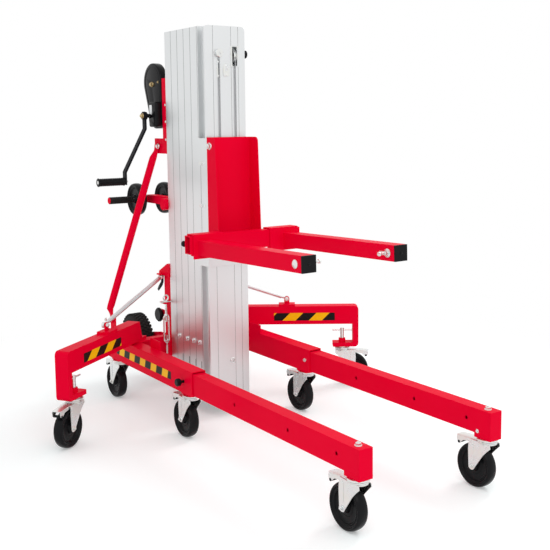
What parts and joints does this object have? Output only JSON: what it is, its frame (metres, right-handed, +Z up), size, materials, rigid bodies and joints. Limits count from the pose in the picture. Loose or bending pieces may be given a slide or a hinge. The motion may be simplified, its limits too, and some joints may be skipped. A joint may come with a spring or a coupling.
{
  "type": "material lift",
  "caption": "Manual material lift: telescopic aluminium mast with a hand winch, sliding load forks, straddle legs, swing-out outriggers and braked swivel casters.",
  "frame": {"origin": "on the floor, in the middle of the machine's bounding box", "axes": "-Y is the front, where the forks and legs point; +Z up; +X is the machine's right as seen from its front looking to the back"},
  "size_m": [1.6384, 2.109, 1.715],
  "materials": {
    "red_paint": "gloss red powder coat",
    "satin_aluminium": "satin anodised",
    "bright_zinc": "bright zinc plating",
    "cable_steel": "bare galvanised wire rope",
    "black_nylon": "glossy black nylon",
    "black_paint": "black paint",
    "black_rubber": "matt black rubber"
  },
  "bodies": {
    "base": {"mast_section_1": "satin_aluminium", "rear_frame": "red_paint", "rear_bracket": "red_paint", "winch_frame": "black_paint", "winch_gear_cover": "black_nylon", "side_beam_left": "red_paint", "side_beam_right": "red_paint", "diagonal_strut_left": "red_paint", "diagonal_strut_right": "red_paint", "handle_frame": "red_paint"},
    "mast_section_2": {"mast_section_2": "satin_aluminium"},
    "mast_section_3": {"mast_section_3": "satin_aluminium"},
    "mast_section_4": {"mast_section_4": "satin_aluminium"},
    "mast_section_5": {"mast_section_5": "satin_aluminium"},
    "mast_section_6": {"mast_section_6": "satin_aluminium", "anchor_cable": "cable_steel", "pulley_cable": "cable_steel"},
    "top_pulley": {"top_pulley": "bright_zinc"},
    "carriage": {"carriage": "satin_aluminium", "load_frame": "red_paint"},
    "winch_drum": {"winch_drum": "bright_zinc"},
    "crank": {"crank": "black_paint"},
    "crank_grip_left": {"crank_grip_left": "black_nylon"},
    "fork_left": {"fork_left": "red_paint", "fork_cap_left": "black_nylon"},
    "leg_left": {"leg_left": "red_paint"},
    "plunger_left": {"plunger_left": "black_nylon"},
    "outrigger_arm_left": {"outrigger_arm_left": "red_paint"},
    "jack_left": {"jack_left": "bright_zinc"},
    "brace_left": {"brace_left": "satin_aluminium"},
    "caster_fork_front_left": {"caster_fork_front_left": "bright_zinc"},
    "caster_wheel_front_left": {"caster_wheel_front_left": "black_nylon"},
    "caster_fork_middle_left": {"caster_fork_middle_left": "bright_zinc"},
    "caster_wheel_middle_left": {"caster_wheel_middle_left": "black_nylon"},
    "caster_fork_rear_left": {"caster_fork_rear_left": "bright_zinc"},
    "caster_wheel_rear_left": {"caster_wheel_rear_left": "black_nylon"},
    "caster_fork_outrigger_left": {"caster_fork_outrigger_left": "bright_zinc"},
    "caster_wheel_outrigger_left": {"caster_wheel_outrigger_left": "black_nylon"},
    "transport_wheel_left": {"transport_wheel_left": "black_rubber"},
    "loading_wheel_left": {"loading_wheel_left": "black_nylon"},
    "crank_grip_right": {"crank_grip_right": "black_nylon"},
    "fork_right": {"fork_right": "red_paint", "fork_cap_right": "black_nylon"},
    "leg_right": {"leg_right": "red_paint"},
    "plunger_right": {"plunger_right": "black_nylon"},
    "outrigger_arm_right": {"outrigger_arm_right": "red_paint"},
    "jack_right": {"jack_right": "bright_zinc"},
    "brace_right": {"brace_right": "satin_aluminium"},
    "caster_fork_front_right": {"caster_fork_front_right": "bright_zinc"},
    "caster_wheel_front_right": {"caster_wheel_front_right": "black_nylon"},
    "caster_fork_middle_right": {"caster_fork_middle_right": "bright_zinc"},
    "caster_wheel_middle_right": {"caster_wheel_middle_right": "black_nylon"},
    "caster_fork_rear_right": {"caster_fork_rear_right": "bright_zinc"},
    "caster_wheel_rear_right": {"caster_wheel_rear_right": "black_nylon"},
    "caster_fork_outrigger_right": {"caster_fork_outrigger_right": "bright_zinc"},
    "caster_wheel_outrigger_right": {"caster_wheel_outrigger_right": "black_nylon"},
    "transport_wheel_right": {"transport_wheel_right": "black_rubber"},
    "loading_wheel_right": {"loading_wheel_right": "black_nylon"},
    "turnbuckle": {"turnbuckle": "bright_zinc"},
    "frame_knob": {"frame_knob": "black_nylon"}
  },
  "joints": [
    {"name": "mast_section_2_slide", "type": "slide", "parent": "base", "child": "mast_section_2", "axis": [0, 0, 1], "range_m": [0, 1.2]},
    {"name": "mast_section_3_slide", "type": "slide", "parent": "mast_section_2", "child": "mast_section_3", "axis": [0, 0, 1], "range_m": [0, 1.2]},
    {"name": "mast_section_4_slide", "type": "slide", "parent": "mast_section_3", "child": "mast_section_4", "axis": [0, 0, 1], "range_m": [0, 1.2]},
    {"name": "mast_section_5_slide", "type": "slide", "parent": "mast_section_4", "child": "mast_section_5", "axis": [0, 0, 1], "range_m": [0, 1.2]},
    {"name": "mast_section_6_slide", "type": "slide", "parent": "mast_section_5", "child": "mast_section_6", "axis": [0, 0, 1], "range_m": [0, 1.2]},
    {"name": "carriage_slide", "type": "slide", "parent": "mast_section_6", "child": "carriage", "axis": [0, 0, 1], "range_m": [-0.42, 0.28], "deforming": ["anchor_cable", "pulley_cable"]},
    {"name": "top_pulley_turn", "type": "hinge", "parent": "mast_section_6", "child": "top_pulley", "pos_m": [0.048, 0.2568, 1.59], "axis": [1, 0, 0], "range_deg": [-800, 800]},
    {"name": "drum_turn", "type": "hinge", "parent": "base", "child": "winch_drum", "pos_m": [0, 0.7215, 1.486], "axis": [1, 0, 0], "range_deg": [-720, 720]},
    {"name": "crank_turn", "type": "hinge", "parent": "base", "child": "crank", "pos_m": [0, 0.6965, 1.34], "axis": [1, 0, 0], "range_deg": [-2880, 2880]},
    {"name": "crank_grip_left_spin", "type": "hinge", "parent": "crank", "child": "crank_grip_left", "pos_m": [-0.2716, 0.6965, 1.04], "axis": [1, 0, 0], "continuous": true},
    {"name": "fork_left_slide", "type": "slide", "parent": "carriage", "child": "fork_left", "axis": [1, 0, 0], "range_m": [-0.01, 0.11]},
    {"name": "leg_left_slide", "type": "slide", "parent": "base", "child": "leg_left", "axis": [0, 1, 0], "range_m": [0, 0.388]},
    {"name": "plunger_left_slide", "type": "slide", "parent": "base", "child": "plunger_left", "axis": [1, 0, 0], "range_m": [0, 0.012]},
    {"name": "outrigger_arm_left_swing", "type": "hinge", "parent": "base", "child": "outrigger_arm_left", "pos_m": [-0.255, 0.6271, 0.312], "axis": [0, 0, 1], "range_deg": [0, 30]},
    {"name": "jack_left_screw", "type": "slide", "parent": "outrigger_arm_left", "child": "jack_left", "axis": [0, 0, 1], "range_m": [-0.034, 0]},
    {"name": "brace_left_swing", "type": "hinge", "parent": "base", "child": "brace_left", "pos_m": [-0.115, 0.6615, 0.582], "axis": [0, 0, -1], "range_deg": [0, 30]},
    {"name": "caster_swivel_front_left", "type": "hinge", "parent": "leg_left", "child": "caster_fork_front_left", "pos_m": [-0.295, -1.0165, 0.1925], "axis": [0, 0, 1], "continuous": true},
    {"name": "caster_wheel_front_left_roll", "type": "hinge", "parent": "caster_fork_front_left", "child": "caster_wheel_front_left", "pos_m": [-0.295, -0.9665, 0.08], "axis": [1, 0, 0], "continuous": true},
    {"name": "caster_swivel_middle_left", "type": "hinge", "parent": "base", "child": "caster_fork_middle_left", "pos_m": [-0.295, 0.0575, 0.1925], "axis": [0, 0, 1], "continuous": true},
    {"name": "caster_wheel_middle_left_roll", "type": "hinge", "parent": "caster_fork_middle_left", "child": "caster_wheel_middle_left", "pos_m": [-0.295, 0.1075, 0.08], "axis": [1, 0, 0], "continuous": true},
    {"name": "caster_swivel_rear_left", "type": "hinge", "parent": "base", "child": "caster_fork_rear_left", "pos_m": [-0.295, 0.7465, 0.1925], "axis": [0, 0, 1], "continuous": true},
    {"name": "caster_wheel_rear_left_roll", "type": "hinge", "parent": "caster_fork_rear_left", "child": "caster_wheel_rear_left", "pos_m": [-0.295, 0.7965, 0.08], "axis": [1, 0, 0], "continuous": true},
    {"name": "caster_swivel_outrigger_left", "type": "hinge", "parent": "jack_left", "child": "caster_fork_outrigger_left", "pos_m": [-0.70154, 0.31117, 0.1925], "axis": [0, 0, 1], "continuous": true},
    {"name": "caster_wheel_outrigger_left_roll", "type": "hinge", "parent": "caster_fork_outrigger_left", "child": "caster_wheel_outrigger_left", "pos_m": [-0.74235, 0.28229, 0.08], "axis": [-0.5776, 0.8163, 0], "continuous": true},
    {"name": "transport_wheel_left_roll", "type": "hinge", "parent": "base", "child": "transport_wheel_left", "pos_m": [-0.127, 0.9075, 0.235], "axis": [1, 0, 0], "continuous": true},
    {"name": "loading_wheel_left_roll", "type": "hinge", "parent": "base", "child": "loading_wheel_left", "pos_m": [-0.077, 0.9745, 0.93], "axis": [1, 0, 0], "continuous": true},
    {"name": "crank_grip_right_spin", "type": "hinge", "parent": "crank", "child": "crank_grip_right", "pos_m": [0.2716, 0.6965, 1.64], "axis": [1, 0, 0], "continuous": true},
    {"name": "fork_right_slide", "type": "slide", "parent": "carriage", "child": "fork_right", "axis": [-1, 0, 0], "range_m": [-0.01, 0.11]},
    {"name": "leg_right_slide", "type": "slide", "parent": "base", "child": "leg_right", "axis": [0, 1, 0], "range_m": [0, 0.388]},
    {"name": "plunger_right_slide", "type": "slide", "parent": "base", "child": "plunger_right", "axis": [-1, 0, 0], "range_m": [0, 0.012]},
    {"name": "outrigger_arm_right_swing", "type": "hinge", "parent": "base", "child": "outrigger_arm_right", "pos_m": [0.255, 0.6271, 0.312], "axis": [0, 0, -1], "range_deg": [0, 30]},
    {"name": "jack_right_screw", "type": "slide", "parent": "outrigger_arm_right", "child": "jack_right", "axis": [0, 0, 1], "range_m": [-0.034, 0]},
    {"name": "brace_right_swing", "type": "hinge", "parent": "base", "child": "brace_right", "pos_m": [0.115, 0.6615, 0.582], "axis": [0, 0, 1], "range_deg": [0, 30]},
    {"name": "caster_swivel_front_right", "type": "hinge", "parent": "leg_right", "child": "caster_fork_front_right", "pos_m": [0.295, -1.0165, 0.1925], "axis": [0, 0, 1], "continuous": true},
    {"name": "caster_wheel_front_right_roll", "type": "hinge", "parent": "caster_fork_front_right", "child": "caster_wheel_front_right", "pos_m": [0.295, -0.9665, 0.08], "axis": [1, 0, 0], "continuous": true},
    {"name": "caster_swivel_middle_right", "type": "hinge", "parent": "base", "child": "caster_fork_middle_right", "pos_m": [0.295, 0.0575, 0.1925], "axis": [0, 0, 1], "continuous": true},
    {"name": "caster_wheel_middle_right_roll", "type": "hinge", "parent": "caster_fork_middle_right", "child": "caster_wheel_middle_right", "pos_m": [0.295, 0.1075, 0.08], "axis": [1, 0, 0], "continuous": true},
    {"name": "caster_swivel_rear_right", "type": "hinge", "parent": "base", "child": "caster_fork_rear_right", "pos_m": [0.295, 0.7465, 0.1925], "axis": [0, 0, 1], "continuous": true},
    {"name": "caster_wheel_rear_right_roll", "type": "hinge", "parent": "caster_fork_rear_right", "child": "caster_wheel_rear_right", "pos_m": [0.295, 0.7965, 0.08], "axis": [1, 0, 0], "continuous": true},
    {"name": "caster_swivel_outrigger_right", "type": "hinge", "parent": "jack_right", "child": "caster_fork_outrigger_right", "pos_m": [0.70154, 0.31117, 0.1925], "axis": [0, 0, 1], "continuous": true},
    {"name": "caster_wheel_outrigger_right_roll", "type": "hinge", "parent": "caster_fork_outrigger_right", "child": "caster_wheel_outrigger_right", "pos_m": [0.74235, 0.28229, 0.08], "axis": [-0.5776, -0.8163, 0], "continuous": true},
    {"name": "transport_wheel_right_roll", "type": "hinge", "parent": "base", "child": "transport_wheel_right", "pos_m": [0.127, 0.9075, 0.235], "axis": [1, 0, 0], "continuous": true},
    {"name": "loading_wheel_right_roll", "type": "hinge", "parent": "base", "child": "loading_wheel_right", "pos_m": [0.077, 0.9745, 0.93], "axis": [1, 0, 0], "continuous": true},
    {"name": "turnbuckle_turn", "type": "hinge", "parent": "base", "child": "turnbuckle", "pos_m": [-0.132, 0.5835, 0.3485], "axis": [0, 0, 1], "continuous": true},
    {"name": "frame_knob_turn", "type": "hinge", "parent": "base", "child": "frame_knob", "pos_m": [-0.1043, 0.6935, 0.395], "axis": [1, 0, 0], "continuous": true}
  ],
  "couplings": [
    {"joint": "top_pulley_turn", "follows": "carriage_slide", "rad_per_m": -32.787},
    {"joint": "drum_turn", "follows": "carriage_slide", "rad_per_m": 28.985},
    {"joint": "crank_turn", "follows": "carriage_slide", "rad_per_m": -115.94}
  ]
}
